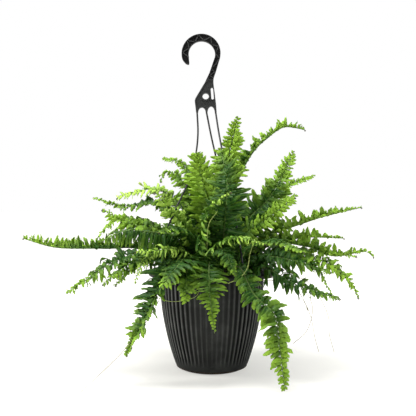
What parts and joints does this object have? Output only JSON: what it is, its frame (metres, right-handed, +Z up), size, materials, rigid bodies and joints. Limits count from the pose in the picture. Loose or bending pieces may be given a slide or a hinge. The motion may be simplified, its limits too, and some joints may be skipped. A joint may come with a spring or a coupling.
{
  "type": "potted fern",
  "caption": "Sword fern with long arching feathery fronds in a ribbed round pot with a broad rolled rim, with a plastic hanger whose strands rise to a hook.",
  "frame": {"origin": "centre of the pot's flat base, on the surface that it stands on", "axes": "+Z up along the pot's axis to the hanger, +Y away from the front view, +X to the right in the front view"},
  "size_m": [0.6804, 0.4749, 0.6627],
  "materials": {
    "pot_plastic": "satin",
    "potting_soil": "matte",
    "hanger_plastic": "satin",
    "frond_leaf": "satin"
  },
  "bodies": {
    "root": {"pot": "pot_plastic", "potting_soil": "potting_soil", "hanger_hook": "hanger_plastic", "hanger_strand_left": "hanger_plastic", "hanger_strand_front": "hanger_plastic", "hanger_strand_back": "hanger_plastic", "frond_01": "frond_leaf", "frond_02": "frond_leaf", "frond_03": "frond_leaf", "frond_04": "frond_leaf", "frond_05": "frond_leaf", "frond_06": "frond_leaf", "frond_07": "frond_leaf", "frond_08": "frond_leaf", "frond_09": "frond_leaf", "frond_10": "frond_leaf", "frond_11": "frond_leaf", "frond_12": "frond_leaf", "frond_13": "frond_leaf", "frond_14": "frond_leaf", "frond_15": "frond_leaf", "frond_16": "frond_leaf", "frond_17": "frond_leaf", "frond_18": "frond_leaf", "frond_19": "frond_leaf", "frond_20": "frond_leaf", "frond_21": "frond_leaf", "frond_22": "frond_leaf", "frond_23": "frond_leaf", "frond_24": "frond_leaf", "frond_25": "frond_leaf", "frond_26": "frond_leaf", "frond_27": "frond_leaf", "frond_28": "frond_leaf", "frond_29": "frond_leaf", "frond_30": "frond_leaf", "frond_31": "frond_leaf", "frond_32": "frond_leaf", "frond_33": "frond_leaf", "frond_34": "frond_leaf", "frond_35": "frond_leaf", "frond_36": "frond_leaf", "frond_37": "frond_leaf", "frond_38": "frond_leaf", "frond_39": "frond_leaf", "frond_40": "frond_leaf", "frond_41": "frond_leaf", "frond_42": "frond_leaf", "frond_43": "frond_leaf", "frond_44": "frond_leaf", "frond_45": "frond_leaf", "frond_46": "frond_leaf", "frond_47": "frond_leaf", "frond_48": "frond_leaf", "frond_49": "frond_leaf", "frond_50": "frond_leaf", "frond_51": "frond_leaf", "frond_52": "frond_leaf", "frond_53": "frond_leaf", "frond_54": "frond_leaf"}
  },
  "joints": []
}
